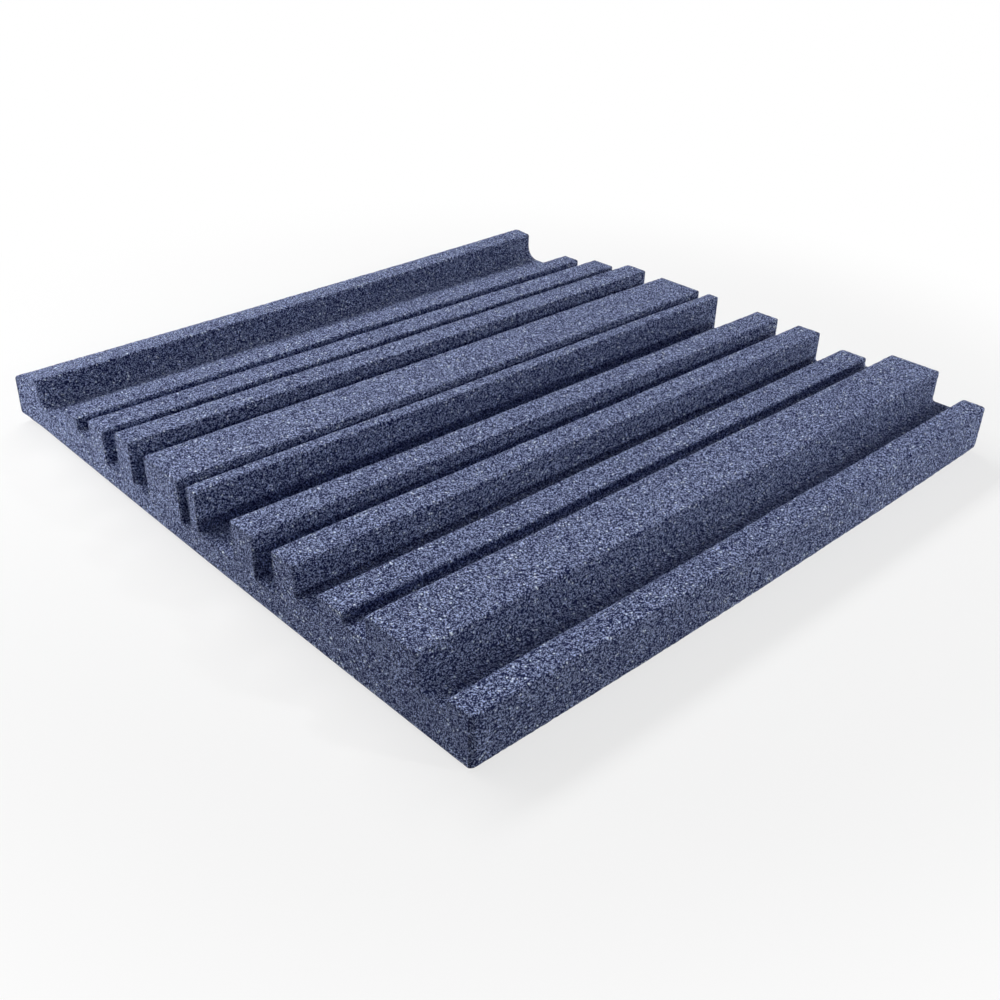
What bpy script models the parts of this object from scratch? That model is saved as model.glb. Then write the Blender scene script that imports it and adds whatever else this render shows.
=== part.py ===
# Acoustic foam tile: a flat-backed slab of open-cell foam with parallel ridges of
# unlike width and height, and the adhesive squares on its back that hold it to a wall.
# Metres, +Z up. The tile lies on its back. The ridges run along X, and the origin is
# at the middle of the tile, on the plane that the adhesive squares' liners rest on.

import itertools
import math

import bmesh
import bpy
from mathutils import Vector

# Foam tile, cut from a flat square sheet
TILE_SIDE = 0.500            # along the ridges, and across them
TILE_THICKNESS = 0.049       # of the uncut sheet

# Ridges from the front edge (-Y) to the back (+Y), with the groove behind each one:
# ridge width, how far its crest is cut down, groove width, how deep the groove is cut.
# Both depths are from the top of the uncut sheet. On a larger tile the list starts again.
PATTERN = (
    (0.0190, 0.0145, 0.0215, 0.0225),
    (0.0406, 0.0000, 0.0192, 0.0160),
    (0.0228, 0.0095, 0.0208, 0.0240),
    (0.0217, 0.0025, 0.0189, 0.0325),
    (0.0235, 0.0030, 0.0380, 0.0310),
    (0.0111, 0.0025, 0.0094, 0.0330),
    (0.0430, 0.0030, 0.0180, 0.0325),
    (0.0215, 0.0025, 0.0175, 0.0330),
    (0.0230, 0.0090, 0.0170, 0.0240),
    (0.0205, 0.0150, 0.0210, 0.0240),
)

# The ridge along the back edge, and the wide groove in front of it, which takes what is left
BACK_RIDGE_WIDTH = 0.0272
BACK_RIDGE_CUT = 0.0092      # how far its crest is cut down
BACK_GROOVE_CUT = 0.0300     # how deep the groove is cut
LEAST_BACK_GROOVE = 0.0120   # a ridge of the pattern that would leave less is left out

CREST_RADIUS = 0.0015        # rounding along the top edges of each ridge
FLOOR_RADIUS = 0.0018        # fillet along both sides of each groove floor
BACK_CREST_RADIUS = 0.0060   # softer rounding along the back ridge's outer top edge
BACK_FLOOR_RADIUS = 0.0085   # deeper fillet at the foot of the back ridge
UNDERSIDE_RADIUS = 0.0040    # rounding along the tile's two lower edges beside the ridges
ARC_STEPS = 4                # chords in each rounded corner
ARC_REACH = 0.48             # most of a side that the arc at one of its ends may take
SHARP_ANGLE = 35             # degrees; edges that turn by more stay sharp in the shading
WELD_DISTANCE = 0.00001      # outline points nearer than this become one

# Adhesive squares and their liners
PAD_SIDE = 0.040
PAD_THICKNESS = 0.0010
PAD_CORNER_RADIUS = 0.0030
PAD_INSET = 0.045            # from the tile's edges to the middle of a corner pad
LINER_MARGIN = 0.0010        # how far a liner stands out past its pad all round
LINER_THICKNESS = 0.0002
TAB_LENGTH = 0.009           # lifting tab, past the liner's edge
TAB_WIDTH = 0.016
TAB_CORNER_RADIUS = 0.0040

LAYER_GAP = 0.0003           # left between touching layers

PAD_BOTTOM = LINER_THICKNESS + LAYER_GAP
FOAM_UNDERSIDE = PAD_BOTTOM + PAD_THICKNESS + LAYER_GAP

FOAM_COLOR = (0.115, 0.135, 0.270)
FOAM_ROUGHNESS = 0.95
PAD_COLOR = (0.800, 0.790, 0.760)
PAD_ROUGHNESS = 0.45
LINER_COLOR = (0.720, 0.590, 0.400)
LINER_ROUGHNESS = 0.60

# Left and right are -X and +X, front and back are -Y and +Y.
# Each place: name, side along X, side along Y, turn of the liner's tab from +X.
PAD_PLACES = (
    ("front_left", -1, -1, 0.0),
    ("front_right", 1, -1, math.pi),
    ("back_left", -1, 1, 0.0),
    ("back_right", 1, 1, math.pi),
    ("centre", 0, 0, -math.pi / 2),
)


def clear_scene():
    """Remove every object, so that only the model is in the file."""
    for existing in list(bpy.data.objects):
        bpy.data.objects.remove(existing, do_unlink=True)


def make_material(name, color, roughness):
    """Return an opaque, non-metallic material."""
    material = bpy.data.materials.new(name)
    material.use_nodes = True
    shader = material.node_tree.nodes["Principled BSDF"]
    shader.inputs["Base Color"].default_value = (*color, 1.0)
    shader.inputs["Roughness"].default_value = roughness
    shader.inputs["Metallic"].default_value = 0.0
    material.diffuse_color = (*color, 1.0)
    return material


def rounded_outline(corners):
    """Round each corner (x, y, radius) of a closed outline with an arc of ARC_STEPS chords.

    A radius is limited so that its arc ends before the middle of both its sides.
    """
    points = []
    count = len(corners)
    for index, (x, y, radius) in enumerate(corners):
        corner = Vector((x, y))
        to_before = Vector(corners[index - 1][:2]) - corner
        to_after = Vector(corners[(index + 1) % count][:2]) - corner
        longest_reach = ARC_REACH * min(to_before.length, to_after.length)
        half_angle = to_before.angle(to_after) / 2
        reach = min(radius / math.tan(half_angle), longest_reach)
        to_before.normalize()
        to_after.normalize()
        middle = corner + (to_before + to_after).normalized() * (reach / math.cos(half_angle))
        start = corner + to_before * reach - middle
        end = corner + to_after * reach - middle
        sweep = start.angle_signed(end)
        for step in range(ARC_STEPS + 1):
            turn = -sweep * step / ARC_STEPS
            offset_x = start.x * math.cos(turn) - start.y * math.sin(turn)
            offset_y = start.x * math.sin(turn) + start.y * math.cos(turn)
            points.append((middle.x + offset_x, middle.y + offset_y))
    return points


def extruded_outline(name, points, thickness, material, collection):
    """Return a mesh object: a flat filled outline, thick along its own Z and centred on it."""
    curve = bpy.data.curves.new(name, "CURVE")
    curve.dimensions = "2D"
    curve.fill_mode = "BOTH"
    curve.extrude = thickness / 2
    spline = curve.splines.new("POLY")
    spline.points.add(len(points) - 1)
    for point, (x, y) in zip(spline.points, points):
        point.co = (x, y, 0.0, 1.0)
    spline.use_cyclic_u = True
    guide = bpy.data.objects.new(name + "_outline", curve)
    collection.objects.link(guide)

    depsgraph = bpy.context.evaluated_depsgraph_get()
    mesh = bpy.data.meshes.new_from_object(guide.evaluated_get(depsgraph))
    bpy.data.objects.remove(guide, do_unlink=True)
    bpy.data.curves.remove(curve)
    shape = bmesh.new()
    shape.from_mesh(mesh)
    bmesh.ops.remove_doubles(shape, verts=shape.verts, dist=WELD_DISTANCE)
    bmesh.ops.recalc_face_normals(shape, faces=shape.faces)
    shape.to_mesh(mesh)
    shape.free()

    mesh.name = name
    mesh.materials.clear()
    mesh.materials.append(material)
    mesh.shade_smooth()
    mesh.set_sharp_from_angle(angle=math.radians(SHARP_ANGLE))
    piece = bpy.data.objects.new(name, mesh)
    collection.objects.link(piece)
    return piece


def foam_levels():
    """Return the ridged face from front to back: (y where it starts, height) of each flat stretch."""
    front = -TILE_SIDE / 2
    back_ridge_front = TILE_SIDE / 2 - BACK_RIDGE_WIDTH
    levels = []
    y = front
    for ridge_width, ridge_cut, groove_width, groove_cut in itertools.cycle(PATTERN):
        if y + ridge_width + LEAST_BACK_GROOVE > back_ridge_front:
            break
        levels.append((y, TILE_THICKNESS - ridge_cut))
        y += ridge_width
        levels.append((y, TILE_THICKNESS - groove_cut))
        y += groove_width
    groove_front = levels[-1][0]
    levels[-1] = (groove_front, TILE_THICKNESS - BACK_GROOVE_CUT)
    levels.append((back_ridge_front, TILE_THICKNESS - BACK_RIDGE_CUT))
    return levels


def foam_corners():
    """Return the tile's cross-section, seen along the ridges, as (y, z, radius) corners."""
    front = -TILE_SIDE / 2
    back = TILE_SIDE / 2
    levels = foam_levels()
    corners = [(back, 0.0, UNDERSIDE_RADIUS), (front, 0.0, UNDERSIDE_RADIUS)]
    corners.append((front, levels[0][1], CREST_RADIUS))
    for (start, height), (end, next_height) in zip(levels, levels[1:]):
        is_rise = next_height > height
        is_back_ridge = end == levels[-1][0]
        foot_radius = BACK_FLOOR_RADIUS if is_back_ridge else FLOOR_RADIUS
        corners.append((end, height, foot_radius if is_rise else CREST_RADIUS))
        corners.append((end, next_height, CREST_RADIUS if is_rise else FLOOR_RADIUS))
    corners.append((back, levels[-1][1], BACK_CREST_RADIUS))
    return corners


def make_foam_panel(collection, parent):
    """Return the foam tile: its cross-section carried along the ridges."""
    foam = make_material("foam", FOAM_COLOR, FOAM_ROUGHNESS)
    points = rounded_outline(foam_corners())
    panel = extruded_outline("foam_panel", points, TILE_SIDE, foam, collection)
    panel.parent = parent
    panel.location = (0.0, 0.0, FOAM_UNDERSIDE)
    panel.rotation_euler = (math.pi / 2, 0.0, math.pi / 2)
    return panel


def square_corners(side, radius):
    """Return the corners of a rounded square, anticlockwise."""
    half = side / 2
    return [(half, half, radius), (-half, half, radius), (-half, -half, radius), (half, -half, radius)]


def liner_corners():
    """Return a rounded square a little larger than the pad, with a tab on its +X side."""
    side = PAD_SIDE + 2 * LINER_MARGIN
    edge = side / 2
    root = TAB_WIDTH / 2
    tip = edge + TAB_LENGTH
    root_radius = TAB_CORNER_RADIUS / 2
    corners = square_corners(side, PAD_CORNER_RADIUS + LINER_MARGIN)
    corners += [
        (edge, -root, root_radius),
        (tip, -root, TAB_CORNER_RADIUS),
        (tip, root, TAB_CORNER_RADIUS),
        (edge, root, root_radius),
    ]
    return corners


def make_adhesive_pads(collection, parent):
    """Place a pad and its liner near each corner of the tile, and one pair in the middle."""
    adhesive = make_material("adhesive_tape", PAD_COLOR, PAD_ROUGHNESS)
    paper = make_material("release_paper", LINER_COLOR, LINER_ROUGHNESS)
    pad_points = rounded_outline(square_corners(PAD_SIDE, PAD_CORNER_RADIUS))
    liner_points = rounded_outline(liner_corners())
    reach = TILE_SIDE / 2 - PAD_INSET
    for place, side_x, side_y, tab_turn in PAD_PLACES:
        x = side_x * reach
        y = side_y * reach
        pad = extruded_outline("adhesive_pad_" + place, pad_points, PAD_THICKNESS, adhesive, collection)
        pad.parent = parent
        pad.location = (x, y, PAD_BOTTOM + PAD_THICKNESS / 2)
        liner = extruded_outline("release_liner_" + place, liner_points, LINER_THICKNESS, paper, collection)
        liner.parent = parent
        liner.location = (x, y, LINER_THICKNESS / 2)
        liner.rotation_euler = (0.0, 0.0, tab_turn)


def build():
    """Build the tile and its adhesive squares under one empty."""
    clear_scene()
    collection = bpy.data.collections.new("acoustic_panel")
    bpy.context.scene.collection.children.link(collection)
    base = bpy.data.objects.new("panel_base", None)
    collection.objects.link(base)
    make_foam_panel(collection, base)
    make_adhesive_pads(collection, base)
    bpy.context.view_layer.update()


build()
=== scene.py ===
import itertools
import math

import bpy
import numpy as np
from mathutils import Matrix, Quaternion, Vector
from mathutils.geometry import delaunay_2d_cdt


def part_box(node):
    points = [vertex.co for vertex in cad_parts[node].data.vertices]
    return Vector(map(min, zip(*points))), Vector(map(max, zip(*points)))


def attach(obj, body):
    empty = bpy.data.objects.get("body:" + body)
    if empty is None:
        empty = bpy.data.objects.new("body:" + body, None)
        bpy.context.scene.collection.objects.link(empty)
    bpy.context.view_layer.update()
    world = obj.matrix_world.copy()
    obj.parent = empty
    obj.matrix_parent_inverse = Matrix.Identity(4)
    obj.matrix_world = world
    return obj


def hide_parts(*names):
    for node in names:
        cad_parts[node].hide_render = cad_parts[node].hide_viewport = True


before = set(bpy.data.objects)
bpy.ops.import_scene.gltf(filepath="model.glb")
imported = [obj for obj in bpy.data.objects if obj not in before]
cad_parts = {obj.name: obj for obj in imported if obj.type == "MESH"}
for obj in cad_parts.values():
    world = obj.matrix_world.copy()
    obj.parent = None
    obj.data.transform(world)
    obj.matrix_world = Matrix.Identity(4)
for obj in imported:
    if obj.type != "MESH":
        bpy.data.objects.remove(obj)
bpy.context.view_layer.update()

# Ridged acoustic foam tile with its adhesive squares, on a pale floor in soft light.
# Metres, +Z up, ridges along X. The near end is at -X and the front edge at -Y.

mm = 0.001
print("frame loaded:", len(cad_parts), "nodes")


# Camera

cameraView = {
    "place": (-0.52515, -0.55182, 0.40329),
    "target": (-0.09232, -0.10020, 0.02525),
    "roll": 1.514,           # degrees, about the line of sight
    "lens": 41.467,          # mm
    "sensorWidth": 36.0,     # mm
    "clip": (0.01, 100.0),   # m, the nearest and the farthest that it sees
}


def makeCamera():
    # stands at place, looks along the line to target, then turns about that line by roll
    camera = bpy.data.objects.new("photoCamera", bpy.data.cameras.new("photoCamera"))
    bpy.context.scene.collection.objects.link(camera)
    camera.data.sensor_width = cameraView["sensorWidth"]
    camera.data.lens = cameraView["lens"]
    camera.data.clip_start, camera.data.clip_end = cameraView["clip"]
    sight = Vector(cameraView["target"]) - Vector(cameraView["place"])
    turn = Quaternion((0.0, 0.0, 1.0), math.radians(cameraView["roll"]))
    camera.location = cameraView["place"]
    camera.rotation_mode = "QUATERNION"
    camera.rotation_quaternion = sight.to_track_quat("-Z", "Y") @ turn
    bpy.context.scene.camera = camera


makeCamera()
print("camera placed")


# Helpers for shader nodes and meshes

def addNode(tree, kind, settings=None, sockets=None):
    # settings are the node's own properties; a socket takes a value, or a link from another node's output
    node = tree.nodes.new(kind)
    for name, value in (settings or {}).items():
        setattr(node, name, value)
    for name, value in (sockets or {}).items():
        if isinstance(value, bpy.types.NodeSocket):
            tree.links.new(value, node.inputs[name])
        else:
            node.inputs[name].default_value = value
    return node


def mathNode(tree, operation, first, second=0.5, third=0.5, clamp=False):
    # the operation on first and second, and on third where it takes three; clamp holds it within 0 and 1
    node = addNode(tree, "ShaderNodeMath", {"operation": operation, "use_clamp": clamp},
                   {0: first, 1: second, 2: third})
    return node.outputs[0]


def mixColours(tree, share, first, second):
    # first where share is 0, second where it is 1, and their weighted mean between
    settings = {"data_type": "RGBA"}
    return addNode(tree, "ShaderNodeMix", settings, {0: share, 6: first, 7: second}).outputs[2]


def ramp(tree, value, low, high, toLow=0.0, toHigh=1.0):
    # value from low..high to toLow..toHigh, eased at both ends and held beyond them
    settings = {"interpolation_type": "SMOOTHSTEP"}
    sockets = {"Value": value, 1: low, 2: high, 3: toLow, 4: toHigh}
    return addNode(tree, "ShaderNodeMapRange", settings, sockets).outputs[0]


def newMaterial(name):
    # a material with an empty node tree
    material = bpy.data.materials.new(name)
    material.use_nodes = True
    material.node_tree.nodes.clear()
    return material, material.node_tree


def finishMaterial(tree, shader):
    # the shader becomes the material's surface
    addNode(tree, "ShaderNodeOutputMaterial", None, {"Surface": shader.outputs[0]})


def newGroup(name, inputs, outputs):
    # inputs and outputs: (name, socket type, default value or None)
    group = bpy.data.node_groups.new(name, "ShaderNodeTree")
    for direction, sockets in (("INPUT", inputs), ("OUTPUT", outputs)):
        for socketName, kind, value in sockets:
            socket = group.interface.new_socket(name=socketName, in_out=direction, socket_type=kind)
            if value is not None:
                socket.default_value = value
    return group, group.nodes.new("NodeGroupInput").outputs, group.nodes.new("NodeGroupOutput").inputs


def meshFromArrays(name, points, loops, loopCounts):
    # points (n, 3) in metres; loops lists the corners of every face in turn, loopCounts how many each has
    mesh = bpy.data.meshes.new(name)
    mesh.vertices.add(len(points))
    mesh.vertices.foreach_set("co", points.astype(np.float32).ravel())
    mesh.loops.add(len(loops))
    mesh.loops.foreach_set("vertex_index", loops.astype(np.int32))
    mesh.polygons.add(len(loopCounts))
    starts = np.concatenate([[0], np.cumsum(loopCounts)[:-1]])
    mesh.polygons.foreach_set("loop_start", starts.astype(np.int32))
    mesh.update(calc_edges=True)
    mesh.validate()
    mesh.shade_smooth()
    return mesh


def latticeNoise(points, size, seed):
    # random values from -1 to 1 at the corners of cubes of this size, eased from corner to corner
    place = (points - points.min(0)) / size
    cube = np.floor(place).astype(int)
    share = place - cube
    share = share * share * (3 - 2 * share)
    values = np.random.default_rng(seed).uniform(-1, 1, tuple(cube.max(0) + 2))
    total = np.zeros(len(points))
    for corner in itertools.product((0, 1), repeat=3):
        weight = np.where(corner, share, 1 - share).prod(1)
        total += weight * values[tuple((cube + corner).T)]
    return total


# Grain of cut open-cell foam, shared by the tile and the foam tape

cellLook = {
    # what a material gets where it doesn't say
    "size": 1.0 * mm,
    "warp": 0.3,
    "randomness": 1.0,
    "warpScale": 0.9,        # of the noise that pushes the cells out of line, with cells as its unit
    "warpDetail": 1.0,
    "poreSpan": (0.15, 0.50),  # from a cell's middle: pore up to the first, strut from the second
    "mottleScale": 0.22,     # of the slow noise, with cells as its unit
    "mottleDetail": 3.0,
    "mottleRoughness": 0.6,
    "mottleSpan": (0.3, 0.7),  # of the slow noise, spread over 0..1
}


def buildCellGrain():
    # every point belongs to one cell: pore is 1 in the middle of a cell and 0 on the struts between cells,
    # tone is a random number and facing a random direction for each cell, and mottle drifts slowly over
    # many cells
    group, given, out = newGroup(
        "cellGrain",
        [("Cell size", "NodeSocketFloat", cellLook["size"]), ("Warp", "NodeSocketFloat", cellLook["warp"]),
         ("Randomness", "NodeSocketFloat", cellLook["randomness"])],
        [("Pore", "NodeSocketFloat", None), ("Tone", "NodeSocketFloat", None),
         ("Mottle", "NodeSocketFloat", None), ("Facing", "NodeSocketVector", None)])
    meanColour = (0.5, 0.5, 0.5)
    place = addNode(group, "ShaderNodeTexCoord").outputs["Object"]
    scale = mathNode(group, "DIVIDE", 1.0, given["Cell size"])
    inCells = addNode(group, "ShaderNodeVectorMath", {"operation": "SCALE"}, {0: place, 3: scale}).outputs[0]
    drift = addNode(group, "ShaderNodeTexNoise", {"noise_dimensions": "3D"},
                    {"Vector": inCells, "Scale": cellLook["warpScale"], "Detail": cellLook["warpDetail"]})
    centred = addNode(group, "ShaderNodeVectorMath", {"operation": "SUBTRACT"},
                      {0: drift.outputs["Color"], 1: meanColour}).outputs[0]
    pushed = addNode(group, "ShaderNodeVectorMath", {"operation": "SCALE"},
                     {0: centred, 3: given["Warp"]}).outputs[0]
    warped = addNode(group, "ShaderNodeVectorMath", {"operation": "ADD"}, {0: inCells, 1: pushed}).outputs[0]
    cells = addNode(group, "ShaderNodeTexVoronoi", {"feature": "F1"},
                    {"Vector": warped, "Scale": 1.0, "Randomness": given["Randomness"]})
    parts = addNode(group, "ShaderNodeSeparateColor", None, {0: cells.outputs["Color"]})
    slow = addNode(group, "ShaderNodeTexNoise", {"noise_dimensions": "3D"},
                   {"Vector": inCells, "Scale": cellLook["mottleScale"], "Detail": cellLook["mottleDetail"],
                    "Roughness": cellLook["mottleRoughness"]})
    pore = ramp(group, cells.outputs["Distance"], *cellLook["poreSpan"], 1.0, 0.0)
    group.links.new(pore, out["Pore"])
    group.links.new(parts.outputs[0], out["Tone"])
    group.links.new(ramp(group, slow.outputs[0], *cellLook["mottleSpan"]), out["Mottle"])
    scatter = addNode(group, "ShaderNodeTexWhiteNoise", {"noise_dimensions": "3D"},
                      {"Vector": cells.outputs["Position"]})
    facing = addNode(group, "ShaderNodeVectorMath", {"operation": "SUBTRACT"},
                     {0: scatter.outputs["Color"], 1: meanColour}).outputs[0]
    group.links.new(facing, out["Facing"])
    return group


cellGrain = buildCellGrain()


# Foam tile

foamPanel = {
    # front to back, in mm: each ridge's width and height, and the width and floor height of the groove
    # behind it
    "ridges": ((19.0, 34.5), (40.6, 49.0), (22.8, 39.5), (21.7, 46.5), (23.5, 46.0), (11.1, 46.5),
               (43.0, 46.0), (21.5, 46.5), (23.0, 40.0), (20.5, 34.0), (27.2, 39.8)),
    "grooves": ((21.5, 26.5), (19.2, 33.0), (20.8, 25.0), (18.9, 16.5), (38.0, 18.0),
                (9.4, 16.0), (18.0, 16.5), (17.5, 16.0), (17.0, 25.0), (45.8, 19.0)),
    "crestRadius": 1.4,
    "backCrestRadius": 2.0,
    "floorRadius": 1.8,
    # where the two cut ends differ from that: groove floors and crest roundings by their place from the
    # front, how far a ridge's front or back moves, the back ridge's inner and outer top corners (place,
    # height and rounding) and its foot's rounding, and the roundings of the lower front and back edges
    "nearEnd": {
        "floors": {0: 27.0, 2: 26.0}, "backCrestRadii": {6: 3.4, 7: 3.4, 8: 3.4},
        "frontShifts": {}, "backShifts": {},
        "backRidge": ((220.0, 40.0, 2.2), (248.8, 35.3, 4.0), 8.5), "lowerRadii": (3.0, 8.0),
    },
    "farEnd": {
        "floors": {0: 25.3, 2: 22.5}, "backCrestRadii": {},
        "frontShifts": {9: 3.0}, "backShifts": {4: -1.5},
        "backRidge": ((225.6, 41.3, 2.2), (248.5, 42.8, 8.0), 11.5), "lowerRadii": (5.0, 4.0),
    },

    # points of the surface
    "spacing": 1.15,         # mm between points of the ridged face
    "undersideSpacing": 2.6, # mm
    "leastSteps": (3, 2),    # on each rounding, and on each straight run
    "slide": 0.25,           # times spacing, at random along the surface
    "endRounding": 1.2,      # mm, around both cut ends; crestRadius has to be larger
    "frontEndRounding": 3.0, # mm, at the ends of the front face
    "frontEndReach": 3.0,    # mm behind the front face, where that has fallen to endRounding
    "endTurns": (45.0, 90.0),  # degrees, of the rows of points on those roundings
    "capSpacing": 1.05,      # times spacing, between points of the two cut ends
    "capJitter": 0.3,        # times that
    "capClear": 0.6,         # times that, kept free beside the outline
    "seed": 11,              # of the slides and the grain
    "capSeeds": (21, 22),

    # roughness of the cut
    "grain": 0.17,           # mm, at every point
    "lumps": 0.13,           # mm
    "lumpNoise": ((2.8, 31), (7.0, 32)),  # mm across, and seed
    "waves": 0.35,           # mm
    "waveNoise": ((80.0, 41), (95.0, 42), (70.0, 43)),  # mm across, and seed, of the shifts in X, Y and Z
    "waveReach": 12.0,       # mm up from the underside, where the waves are whole
    "undersideCalm": 0.3,    # how much of the grain and lumps is left on the underside
    "undersideReach": 2.0,   # mm up from it, where they are whole
    "endCalm": 0.3,          # how much of them is left on the roundings of the ends
    "cutDepth": 0.01,        # times endRounding: a point less deep than this is on the flat cut

    # how the tile departs from straight and square, in mm
    "cornerFlare": 4.6,
    "flareAlong": (0.7, 0.3),  # of half the length: where it begins, and how far on it is whole
    "flarePower": 1.5,       # of the place from the back ridge's inner top corner to its outer one
    "flareHeight": 5.0,      # up from the underside, where it is whole
    "flareLeast": 0.3,       # how much of it is left at the underside
    "frontBow": 2.8,
    "bowPower": 20,          # of the place across: the higher, the nearer to the front face it stays
    "backRidgeSag": 0.95,
    "sagReach": 8.0,         # in front of the back ridge, where the sag ends
    "endBow": 1.72,
    # powers of the place along X and across Y, and the lift of the slab where both are 1
    "curl": {(2, 0): 0.03, (0, 2): 0.13, (1, 1): 0.36, (2, 2): 0.17, (2, 1): -0.10, (1, 2): 0.93,
             (1, 0): -0.63},
}


def sectionCorners(end):
    # a staircase from the lower back edge, under the tile, then over the ridges from front to back
    ridge = np.array(foamPanel["ridges"])
    groove = np.array(foamPanel["grooves"])
    fronts = np.concatenate([[0.0], np.cumsum(ridge[:-1, 0] + groove[:, 0])])
    fronts -= (fronts[-1] + ridge[-1, 0]) / 2
    backs = fronts + ridge[:, 0]
    heights = ridge[:, 1].copy()
    floors = groove[:, 1].copy()
    frontRadii = np.full(len(ridge), foamPanel["crestRadius"])
    backRadii = np.full(len(ridge), foamPanel["backCrestRadius"])
    footRadii = np.full((len(groove), 2), foamPanel["floorRadius"])
    lowerBack = backs[-1]
    for place, height in end["floors"].items():
        floors[place] = height
    for place, radius in end["backCrestRadii"].items():
        backRadii[place] = radius
    for place, shift in end["frontShifts"].items():
        fronts[place] += shift
    for place, shift in end["backShifts"].items():
        backs[place] += shift
    innerTop, outerTop, footRadii[-1, 1] = end["backRidge"]
    fronts[-1] = innerTop[0]

    crestFronts = np.stack([fronts, heights, frontRadii], 1)
    crestBacks = np.stack([backs, heights, backRadii], 1)
    crests = np.stack([crestFronts, crestBacks], 1)
    crests[-1] = innerTop, outerTop
    grooveFronts = np.stack([backs[:-1], floors, footRadii[:, 0]], 1)
    grooveBacks = np.stack([fronts[1:], floors, footRadii[:, 1]], 1)
    feet = np.stack([grooveFronts, grooveBacks], 1)
    steps = np.concatenate([crests[:-1], feet], 1).reshape(-1, 3)
    under = [(lowerBack, 0.0, end["lowerRadii"][1]), (fronts[0], 0.0, end["lowerRadii"][0])]
    return np.concatenate([under, steps, crests[-1]])


def unitRows(vectors):
    # each row divided by its own length
    return vectors / np.linalg.norm(vectors, axis=1, keepdims=True)


def sharesAlong(steps):
    # stretches with so many points each: the stretch that a point is on, and its share of the way along it
    stretch = np.repeat(np.arange(len(steps)), steps)
    first = np.cumsum(steps) - steps
    share = (np.arange(len(stretch)) - first[stretch]) / steps[stretch]
    return stretch, share[:, None]


def roundedSection(corners, arcSteps, runSteps):
    # each corner gives an arc about its rounding's middle, then a straight run to the next corner's arc
    corner, radius = corners[:, :2], corners[:, 2:]
    toBefore = unitRows(np.roll(corner, 1, 0) - corner)
    toAfter = unitRows(np.roll(corner, -1, 0) - corner)
    half = np.arccos((toBefore * toAfter).sum(1, keepdims=True)) / 2
    middle = corner + unitRows(toBefore + toAfter) * radius / np.sin(half)
    arcStart = corner + toBefore * radius / np.tan(half)
    arcEnd = corner + toAfter * radius / np.tan(half)
    sweep = math.pi - 2 * half

    onArc, share = sharesAlong(arcSteps)
    fromStart = (arcStart - middle)[onArc] * np.sin((1 - share) * sweep[onArc])
    fromEnd = (arcEnd - middle)[onArc] * np.sin(share * sweep[onArc])
    arc = middle[onArc] + (fromStart + fromEnd) / np.sin(sweep[onArc])
    onRun, share = sharesAlong(runSteps)
    nextStart = np.roll(arcStart, -1, 0)
    run = arcEnd[onRun] + (nextStart - arcEnd)[onRun] * share
    order = np.argsort(np.concatenate([onArc * 2, onRun * 2 + 1]), kind="stable")
    return np.concatenate([arc, run])[order]


def outwardNormals(outline):
    # square to the line between each point's two neighbours, on the outer side
    along = unitRows(np.roll(outline, -1, 0) - np.roll(outline, 1, 0))
    return np.stack([-along[:, 1], along[:, 0]], 1)


def stepCounts(near, far):
    # each arc's and each straight run's length over the spacing, from the mean of the two ends
    corners = (near + far) / 2
    gap = np.linalg.norm(np.roll(corners[:, :2], -1, 0) - corners[:, :2], axis=1)
    run = gap - corners[:, 2] - np.roll(corners[:, 2], -1)
    spacing = np.full(len(corners), foamPanel["spacing"])
    spacing[0] = foamPanel["undersideSpacing"]
    leastArc, leastRun = foamPanel["leastSteps"]
    arcSteps = np.maximum(leastArc, np.round(corners[:, 2] * math.pi / 2 / foamPanel["spacing"])).astype(int)
    runSteps = np.maximum(leastRun, np.round(run / spacing)).astype(int)
    return arcSteps, runSteps


def capFill(outline, spacing, seed):
    # points on a jittered grid inside the outline, joined with the outline's own points by triangles; a
    # point is inside where a line from it crosses the outline an odd number of times
    random = np.random.default_rng(seed)
    low, high = outline.min(0), outline.max(0)
    jitter = foamPanel["capJitter"]
    y, z = np.meshgrid(np.arange(low[0], high[0], spacing), np.arange(low[1], high[1], spacing))
    inner = np.stack([y.ravel(), z.ravel()], 1) + random.uniform(-jitter, jitter, (y.size, 2)) * spacing
    crossed = np.zeros(len(inner), bool)
    clear = np.ones(len(inner), bool)
    for start, end in zip(outline, np.roll(outline, -1, 0)):
        clear &= ((inner - start) ** 2).sum(1) > (foamPanel["capClear"] * spacing) ** 2
        spans = (start[1] > inner[:, 1]) != (end[1] > inner[:, 1])
        if start[1] != end[1]:
            slope = (end[0] - start[0]) / (end[1] - start[1])
            crossed ^= spans & (inner[:, 0] < start[0] + slope * (inner[:, 1] - start[1]))
    inner = inner[crossed & clear]
    places = [Vector(p) for p in np.concatenate([outline, inner])]
    insideOnly = 1
    leastDistance = 1e-7
    found = delaunay_2d_cdt(places, [], [list(range(len(outline)))], insideOnly, leastDistance)
    return inner, np.array(found[2])


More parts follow.
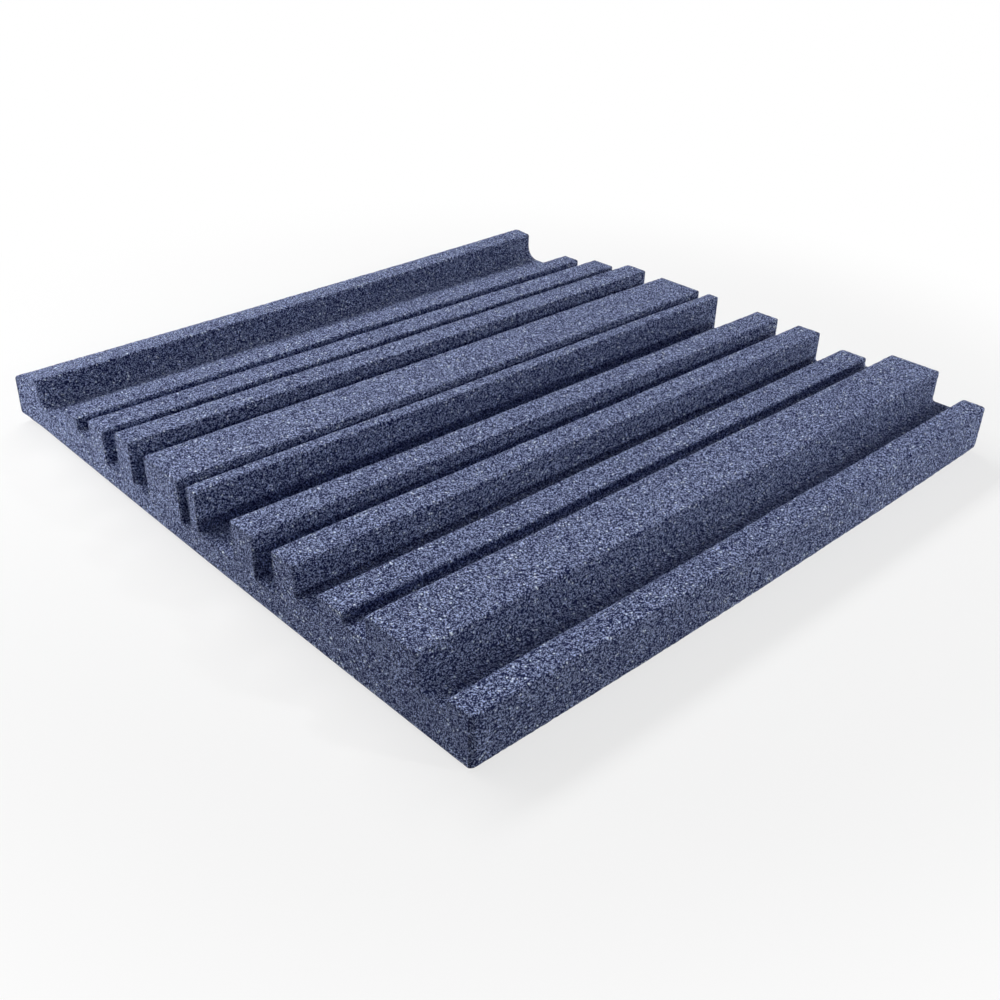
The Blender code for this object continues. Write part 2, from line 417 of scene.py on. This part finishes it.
def tileRows(half, random):
    # the section is carried along X, blending from the near end's outline to the far end's; the last rows
    # step inwards on a quarter circle to the flat cut end, and the points between slide along the surface
    near, far = sectionCorners(foamPanel["nearEnd"]), sectionCorners(foamPanel["farEnd"])
    counts = stepCounts(near, far)
    nearLine, farLine = roundedSection(near, *counts), roundedSection(far, *counts)
    nearOut, farOut = outwardNormals(nearLine), outwardNormals(farLine)

    plain, atFront = foamPanel["endRounding"], foamPanel["frontEndRounding"]
    onFront = np.clip(1 - (nearLine[:, 0] + half) / foamPanel["frontEndReach"], 0, 1)
    rounding = plain + onFront * (atFront - plain)
    rows = int(round((2 * half) / foamPanel["spacing"]))
    along = np.linspace(-1, 1, rows + 1)[:, None]
    turn = np.radians(foamPanel["endTurns"])[:, None]
    rowX = np.concatenate([-half + rounding * (1 - np.sin(turn[::-1])), along * (half - rounding),
                           half - rounding * (1 - np.sin(turn))])
    inset = np.concatenate([rounding * (1 - np.cos(turn[::-1])), np.zeros((rows + 1, len(nearLine))),
                            rounding * (1 - np.cos(turn))])
    share = (rowX / half + 1)[:, :, None] / 2
    line = nearLine + (farLine - nearLine) * share
    out = nearOut + (farOut - nearOut) * share
    line = line - out * inset[:, :, None]

    between = slice(len(turn) + 1, -len(turn) - 1)
    slide = random.uniform(-foamPanel["slide"], foamPanel["slide"], line.shape) * foamPanel["spacing"]
    tangent = np.stack([out[:, :, 1], -out[:, :, 0]], 2)
    line[between] += (tangent * slide[:, :, :1])[between]
    rowX[between] += slide[between, :, 1]
    return rowX, line


def closedTile(half, rowX, line):
    # four-sided faces join each row of points to the next, and triangles fill the first and the last row
    rowCount, columns = rowX.shape
    side = np.concatenate([rowX[:, :, None], line], 2).reshape(-1, 3)
    corner = np.arange(rowCount - 1)[:, None] * columns + np.arange(columns)
    beside = np.arange(rowCount - 1)[:, None] * columns + (np.arange(columns) + 1) % columns
    quads = np.stack([corner, beside, beside + columns, corner + columns], 2).reshape(-1, 4)

    points, loops, loopCounts = [side], [quads.ravel()], [np.full(len(quads), 4)]
    used = len(side)
    nearSeed, farSeed = foamPanel["capSeeds"]
    spacing = foamPanel["spacing"] * foamPanel["capSpacing"]
    for x, row, seed, flip in ((-half, 0, nearSeed, True), (half, rowCount - 1, farSeed, False)):
        fill, triangles = capFill(line[row], spacing, seed)
        places = np.concatenate([row * columns + np.arange(columns), used + np.arange(len(fill))])
        triangles = places[triangles]
        points.append(np.column_stack([np.full(len(fill), x), fill]))
        loops.append((triangles[:, ::-1] if flip else triangles).ravel())
        loopCounts.append(np.full(len(triangles), 3))
        used += len(fill)
    return np.concatenate(points), np.concatenate(loops), np.concatenate(loopCounts)


def roughened(points, normals, half, random):
    # each point moves along its normal by its own random grain and by lumps of two sizes, less on the
    # underside and on the ends' roundings; slow waves then shift all but the lowest part
    calm = foamPanel["undersideCalm"]
    rough = calm + (1 - calm) * np.clip(points[:, 2] / foamPanel["undersideReach"], 0.0, 1.0)
    fromEnd = (half - np.abs(points[:, 0])) / foamPanel["endRounding"]
    onRounding = fromEnd > foamPanel["cutDepth"]
    rough *= np.where(onRounding, np.clip(fromEnd, foamPanel["endCalm"], 1.0), 1.0)
    push = foamPanel["grain"] * random.uniform(-1, 1, len(points))
    for size, seed in foamPanel["lumpNoise"]:
        push += foamPanel["lumps"] * latticeNoise(points, size, seed)
    lift = np.clip(points[:, 2:] / foamPanel["waveReach"], 0.0, 1.0)
    points = points + normals * (rough * push)[:, None]
    wave = np.stack([latticeNoise(points, size, seed) for size, seed in foamPanel["waveNoise"]], 1)
    return points + wave * foamPanel["waves"] * lift


def bent(points, half, base):
    # u and v are the places along X and across Y, from -1 to 1: the near end's back corner is drawn out
    # along X, the front face bows outwards and the back ridge's crest sags by one minus u squared, the
    # ends bow outwards by one minus v squared, and the slab curls by a sum of powers of u and v
    points = points.copy()
    u, v = points[:, 0] / half, points[:, 1] / half
    innerTop, outerTop = foamPanel["nearEnd"]["backRidge"][:2]
    begin, reach = foamPanel["flareAlong"]
    across = np.clip((points[:, 1] - innerTop[0]) / (outerTop[0] - innerTop[0]), 0, 1)
    flare = (across ** foamPanel["flarePower"]
             * np.clip(points[:, 2] / foamPanel["flareHeight"], foamPanel["flareLeast"], 1)
             * np.clip((-u - begin) / reach, 0, 1) ** 2)
    points[:, 0] -= foamPanel["cornerFlare"] * flare
    points[:, 1] -= foamPanel["frontBow"] * (1 - u * u) * np.clip(-v, 0, 1) ** foamPanel["bowPower"]
    sag = (np.clip((points[:, 1] - innerTop[0]) / foamPanel["sagReach"] + 1, 0, 1)
           * np.clip(points[:, 2] / innerTop[1], 0, 1) ** 2 * (1 - u * u))
    points[:, 2] -= foamPanel["backRidgeSag"] * sag
    points[:, 0] -= foamPanel["endBow"] * (v * v - 1) * u
    points[:, 2] += sum((lift * u**i * v**j for (i, j), lift in foamPanel["curl"].items()), base)
    return points


def makeFoamTile():
    # rows of sections, closed by the two cut ends, roughened along the smooth surface's normals, and bent
    half = (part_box("foam_panel")[1].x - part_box("foam_panel")[0].x) / mm / 2
    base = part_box("foam_panel")[0].z / mm
    random = np.random.default_rng(foamPanel["seed"])
    rowX, line = tileRows(half, random)
    points, loops, loopCounts = closedTile(half, rowX, line)
    mesh = meshFromArrays("foamTile", points * mm, loops, loopCounts)
    normals = np.empty(len(mesh.vertices) * 3, np.float32)
    mesh.vertices.foreach_get("normal", normals)
    points = bent(roughened(points, normals.reshape(-1, 3), half, random), half, base)
    mesh.vertices.foreach_set("co", (points * mm).astype(np.float32).ravel())
    mesh.update()

    tile = bpy.data.objects.new("foamTile", mesh)
    bpy.context.scene.collection.objects.link(tile)
    return tile


foamLook = {
    "cell": 0.56 * mm,
    "warp": 0.3,
    "randomness": 1.0,
    # dark is the pores' colour, painted shade for their hollow inside, and the low end of the struts' random
    # tone
    "dark": (0.001, 0.006, 0.050),
    "light": (0.550, 0.655, 1.000),
    "toneSpan": (0.55, 0.83),  # a strut is dark up to the first random tone, and light from the second
    "mottleShare": 0.15,     # how much darker the foam is in broad patches
    "roughness": 0.85,
    "specular": 0.25,
    "bump": 0.3 * mm,
    "bumpStrength": 0.7,     # none on a facet
    # painted glint: the pale colour of a facet stands in for a highlight on it; its turn and gloss are real
    "paintedGlint": (0.78, 0.88, 1.00),
    "glintCell": 1.60 * mm,
    "glintShare": 0.05,      # of those cells, whose middles are facets
    "glintPore": (0.10, 0.22),  # of the pore value, from no facet to a whole one
    "glintFlat": 0.5,        # of a facet's own value, from where it has no bump
    "glintTurn": 0.8,        # how far a facet is turned from the surface
    "glintRoughness": 0.25,
}


def foamMaterial():
    # lightness is 0 in a pore, as painted shade for its hollow, and on a strut it rises with the cell's
    # random tone; the middles of a few larger cells are facets with a painted glint, a pale colour that
    # stands in for their highlights; these facets are also turned at random and glossier than the rest
    material, tree = newMaterial("openCellFoam")
    grain = addNode(tree, "ShaderNodeGroup", {"node_tree": cellGrain}, {
        "Cell size": foamLook["cell"], "Warp": foamLook["warp"], "Randomness": foamLook["randomness"]})
    strut = mathNode(tree, "SUBTRACT", 1.0, grain.outputs["Pore"])
    tone = ramp(tree, grain.outputs["Tone"], *foamLook["toneSpan"])
    mottle = ramp(tree, grain.outputs["Mottle"], 0.0, 1.0, 1 - foamLook["mottleShare"], 1.0)
    # in a pore the lightness is 0, painted shade for the hollow; on a strut it follows the cell's own tone
    # and mottle
    lightness = mathNode(tree, "MULTIPLY", mathNode(tree, "MULTIPLY", strut, tone), mottle, clamp=True)
    colour = mixColours(tree, lightness, (*foamLook["dark"], 1), (*foamLook["light"], 1))
    sparks = addNode(tree, "ShaderNodeGroup", {"node_tree": cellGrain}, {"Cell size": foamLook["glintCell"]})
    chosen = mathNode(tree, "GREATER_THAN", sparks.outputs["Tone"], 1 - foamLook["glintShare"])
    paintedGlint = mathNode(tree, "MULTIPLY", chosen, ramp(tree, sparks.outputs["Pore"], *foamLook["glintPore"]))
    # the facets' pale colour is a painted glint, a highlight put into the colour
    colour = mixColours(tree, paintedGlint, colour, (*foamLook["paintedGlint"], 1))
    bump = addNode(tree, "ShaderNodeBump", None, {
        "Strength": ramp(tree, paintedGlint, 0.0, foamLook["glintFlat"], foamLook["bumpStrength"], 0.0),
        "Distance": foamLook["bump"], "Height": lightness}).outputs[0]
    turned = addNode(tree, "ShaderNodeVectorMath", {"operation": "SCALE"}, {
        0: sparks.outputs["Facing"],
        3: mathNode(tree, "MULTIPLY", paintedGlint, foamLook["glintTurn"])}).outputs[0]
    added = addNode(tree, "ShaderNodeVectorMath", {"operation": "ADD"}, {0: bump, 1: turned}).outputs[0]
    facing = addNode(tree, "ShaderNodeVectorMath", {"operation": "NORMALIZE"}, {0: added}).outputs[0]
    roughness = ramp(tree, paintedGlint, 0.0, 1.0, foamLook["roughness"], foamLook["glintRoughness"])
    shader = addNode(tree, "ShaderNodeBsdfPrincipled", None, {
        "Base Color": colour, "Roughness": roughness, "Normal": facing,
        "Specular IOR Level": foamLook["specular"]})
    finishMaterial(tree, shader)
    return material


foamTile = makeFoamTile()
foamTile.data.materials.append(foamMaterial())
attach(foamTile, "root")
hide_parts("foam_panel")
print("foam tile:", len(foamTile.data.polygons), "faces")


# Adhesive squares and their liners

tapeLook = {
    "cell": 0.45 * mm,
    "warp": 0.3,
    "foam": (0.80, 0.79, 0.75),
    "shade": (0.62, 0.60, 0.55),
    "poreShade": 0.5,        # how much of the shade colour a pore has
    "mottleShade": 0.3,      # the same for the broad patches
    "roughness": 0.45,
    "bump": 0.1 * mm,
    "bumpStrength": 0.4,
}
linerLook = {
    "paper": (0.70, 0.56, 0.36),
    "fibre": (0.52, 0.38, 0.22),
    "fleck": (0.80, 0.68, 0.50),
    # waves per metre along X, Y and Z of each set of fibres, and the noise value from none to whole
    "fibreScales": ((250.0, 1800.0, 400.0), (1500.0, 300.0, 400.0)),
    "fibreSpans": ((0.45, 0.65), (0.35, 0.7)),
    "fibreTurn": 0.4,        # radians, about Z
    "fibreDetail": 4.0,
    "cloudScale": 90.0,      # waves per metre
    "cloudDetail": 3.0,
    "fleckSpan": (0.5, 0.75),  # of the cloud's value, from no fleck to a whole one
    "fleckShare": 0.6,
    "glossSpan": (0.3, 0.7),   # of the cloud's value, over which the roughness changes
    "roughness": (0.34, 0.52),
    "coat": 0.2,
    "bump": 0.05 * mm,
    "bumpStrength": 0.3,
}


def tapeMaterial():
    # the shade is a share of the pore value plus a share of the mottle, and pores lie deeper than struts
    material, tree = newMaterial("whiteFoamTape")
    grain = addNode(tree, "ShaderNodeGroup", {"node_tree": cellGrain},
                    {"Cell size": tapeLook["cell"], "Warp": tapeLook["warp"]})
    patches = mathNode(tree, "MULTIPLY", grain.outputs["Mottle"], tapeLook["mottleShade"])
    shade = mathNode(tree, "MULTIPLY_ADD", grain.outputs["Pore"], tapeLook["poreShade"], patches, clamp=True)
    colour = mixColours(tree, shade, (*tapeLook["foam"], 1), (*tapeLook["shade"], 1))
    bump = addNode(tree, "ShaderNodeBump", {"invert": True}, {
        "Strength": tapeLook["bumpStrength"], "Distance": tapeLook["bump"],
        "Height": grain.outputs["Pore"]})
    shader = addNode(tree, "ShaderNodeBsdfPrincipled", None, {
        "Base Color": colour, "Roughness": tapeLook["roughness"], "Normal": bump.outputs[0]})
    finishMaterial(tree, shader)
    return material


def linerMaterial():
    # two sets of long thin noise streaks, a quarter turn apart, make the paper's fibres, and slow clouds
    # of noise add pale flecks and change the gloss
    material, tree = newMaterial("waxedLiner")
    place = addNode(tree, "ShaderNodeTexCoord").outputs["Object"]
    turn = (0.0, 0.0, linerLook["fibreTurn"])
    streaks = []
    for scale in linerLook["fibreScales"]:
        mapped = addNode(tree, "ShaderNodeMapping", None, {
            "Vector": place, "Scale": scale, "Rotation": turn})
        noise = addNode(tree, "ShaderNodeTexNoise", None, {
            "Vector": mapped.outputs[0], "Scale": 1.0, "Detail": linerLook["fibreDetail"]})
        streaks.append(noise.outputs[0])
    fibres = [ramp(tree, streak, *span) for streak, span in zip(streaks, linerLook["fibreSpans"])]
    fibre = mathNode(tree, "MULTIPLY", *fibres)
    clouds = addNode(tree, "ShaderNodeTexNoise", None, {
        "Vector": place, "Scale": linerLook["cloudScale"], "Detail": linerLook["cloudDetail"]}).outputs[0]
    colour = mixColours(tree, fibre, (*linerLook["paper"], 1), (*linerLook["fibre"], 1))
    fleck = mathNode(tree, "MULTIPLY", ramp(tree, clouds, *linerLook["fleckSpan"]), linerLook["fleckShare"])
    colour = mixColours(tree, fleck, colour, (*linerLook["fleck"], 1))
    roughness = ramp(tree, clouds, *linerLook["glossSpan"], *linerLook["roughness"])
    bump = addNode(tree, "ShaderNodeBump", None, {
        "Strength": linerLook["bumpStrength"], "Distance": linerLook["bump"], "Height": streaks[0]})
    shader = addNode(tree, "ShaderNodeBsdfPrincipled", None, {
        "Base Color": colour, "Roughness": roughness, "Normal": bump.outputs[0],
        "Coat Weight": linerLook["coat"]})
    finishMaterial(tree, shader)
    return material


def dressNodes(prefix, material):
    # every node of the frame whose name starts with the prefix gets the material
    for name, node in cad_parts.items():
        if name.startswith(prefix):
            node.material_slots[0].material = material


dressNodes("adhesive_pad", tapeMaterial())
dressNodes("release_liner", linerMaterial())
print("adhesive squares and liners finished")


# Floor, lamps and world

studio = {
    "white": (1.0, 1.0, 1.0, 1.0),
    "whiteStrength": 1.0,
    "floorHalf": 6.0,                 # m
    "floorDrop": 0.3 * mm,            # below the liners
    "floorColour": (0.80, 0.80, 0.80),
    "bounceFar": (0.95, 0.95, 0.95),  # the floor's colour for light that it throws back on the tile
    # painted shadow: the floor's colour for thrown-back light is darker around the near corner
    "bounceInPaintedShadow": (0.40, 0.40, 0.40), # the same around the tile's near corner
    "bounceCentre": (-0.30, -0.30, 0.0),
    "bounceReach": (0.20, 0.40),      # m
    "floorShadow": 0.28,              # how much of the floor's shading the camera sees near the tile
    "floorFade": (0.36, 0.62),        # m from the origin, over which that fades to none
    "worldStrength": 0.0,
    # name: place, point it faces, width, height, watts
    "lamps": {
        "overhead": ((0.0, 0.0, 2.0), (0.0, 0.0, 0.0), 2.0, 2.0, 5.9),
        "highBack": ((0.05, 1.16, 1.42), (0.0, 0.0, 0.0), 2.2, 0.4, 32.0),
        "left": ((-0.95, 0.35, 0.45), (-0.25, 0.15, 0.0), 0.6, 0.6, 2.3),
        "lowLeft": ((-0.62, 0.50, 0.14), (-0.25, 0.15, 0.02), 0.2, 0.2, 1.05),
        "frontRight": ((0.40, -1.30, 0.645), (0.0, 0.0, 0.02), 0.08, 0.08, 5.8),
        "lowFront": ((0.60, -0.90, 0.17), (0.22, -0.25, 0.02), 0.4, 0.15, 0.9),
    },
}


def seenWhite(tree):
    # 1 for rays from the camera, and for those that gloss or glass send on
    rays = addNode(tree, "ShaderNodeLightPath").outputs
    gloss = mathNode(tree, "ADD", rays["Is Glossy Ray"], rays["Is Transmission Ray"])
    return mathNode(tree, "ADD", rays["Is Camera Ray"], gloss, clamp=True)


def makeFloor():
    # a flat square whose shading fades to plain white away from the tile; the light that it throws back
    # on the tile is weaker around the near corner: a painted shadow, put into its colour for that light
    half = studio["floorHalf"]
    corners = np.array([(-half, -half, 0), (half, -half, 0), (half, half, 0), (-half, half, 0)])
    corners[:, 2] = -studio["floorDrop"]
    mesh = meshFromArrays("floor", corners, np.arange(4), np.array([4]))
    material, tree = newMaterial("paleFloor")
    place = addNode(tree, "ShaderNodeTexCoord").outputs["Object"]
    away = addNode(tree, "ShaderNodeVectorMath", {"operation": "LENGTH"}, {0: place}).outputs["Value"]
    shading = ramp(tree, away, *studio["floorFade"], studio["floorShadow"], 0.0)
    plain = mathNode(tree, "MULTIPLY", seenWhite(tree), mathNode(tree, "SUBTRACT", 1.0, shading))
    toCorner = addNode(tree, "ShaderNodeVectorMath", {"operation": "DISTANCE"},
                       {0: place, 1: studio["bounceCentre"]}).outputs["Value"]
    bounce = mixColours(tree, ramp(tree, toCorner, *studio["bounceReach"]), (*studio["bounceInPaintedShadow"], 1),
                        (*studio["bounceFar"], 1))
    colour = mixColours(tree, seenWhite(tree), bounce, (*studio["floorColour"], 1))
    lit = addNode(tree, "ShaderNodeBsdfDiffuse", None, {"Color": colour})
    white = addNode(tree, "ShaderNodeEmission", None,
                    {"Color": studio["white"], "Strength": studio["whiteStrength"]})
    mixed = addNode(tree, "ShaderNodeMixShader", None, {0: plain, 1: lit.outputs[0], 2: white.outputs[0]})
    finishMaterial(tree, mixed)
    mesh.materials.append(material)
    floor = bpy.data.objects.new("floor", mesh)
    bpy.context.scene.collection.objects.link(floor)


def makeLamps():
    # each lamp is a glowing rectangle at its place, turned until it faces its point
    for name, (place, target, width, height, watts) in studio["lamps"].items():
        lamp = bpy.data.objects.new(name, bpy.data.lights.new(name, "AREA"))
        lamp.data.shape = "RECTANGLE"
        lamp.data.size = width
        lamp.data.size_y = height
        lamp.data.energy = watts
        lamp.location = place
        lamp.rotation_mode = "QUATERNION"
        lamp.rotation_quaternion = (Vector(target) - Vector(place)).to_track_quat("-Z", "Y")
        bpy.context.scene.collection.objects.link(lamp)


def makeWorld():
    # white where it is seen, and worldStrength as light on the tile
    world = bpy.data.worlds.new("studioWorld")
    world.use_nodes = True
    tree = world.node_tree
    tree.nodes.clear()
    soft, white = [addNode(tree, "ShaderNodeBackground", None,
                           {"Color": studio["white"], "Strength": strength}).outputs[0]
                   for strength in (studio["worldStrength"], studio["whiteStrength"])]
    mixed = addNode(tree, "ShaderNodeMixShader", None, {0: seenWhite(tree), 1: soft, 2: white})
    addNode(tree, "ShaderNodeOutputWorld", None, {"Surface": mixed.outputs[0]})
    bpy.context.scene.world = world


makeFloor()
makeLamps()
makeWorld()
bpy.context.scene.view_settings.view_transform = "Standard"
print("studio lit")
